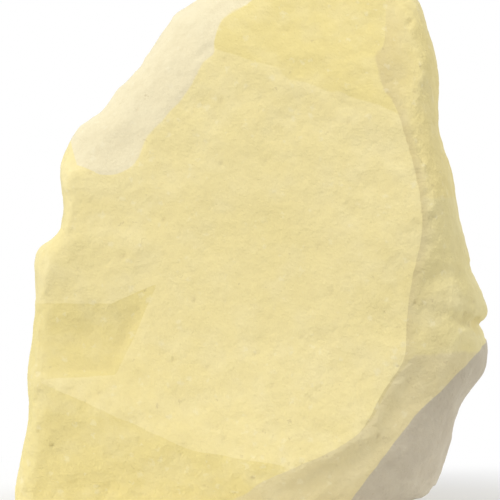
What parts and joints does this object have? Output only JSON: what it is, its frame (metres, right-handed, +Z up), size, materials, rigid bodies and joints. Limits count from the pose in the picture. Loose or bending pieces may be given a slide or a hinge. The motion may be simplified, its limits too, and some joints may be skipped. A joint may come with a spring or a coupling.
{
  "type": "flint nodule",
  "caption": "Upright lump of flint in a cream, chalky cortex, with a broad weathered face and bevelled flanks, standing on a small flat spot.",
  "frame": {"origin": "on the surface that the stone stands on, under the middle of its width and depth", "axes": "+Z up, along the stone's height; the broad weathered face looks along -Y; +X is to the right of that face"},
  "size_m": [0.1352, 0.0982, 0.1607],
  "materials": {
    "cortex": "chalky matt"
  },
  "bodies": {
    "root": {"flint_nodule": "cortex"}
  },
  "joints": []
}
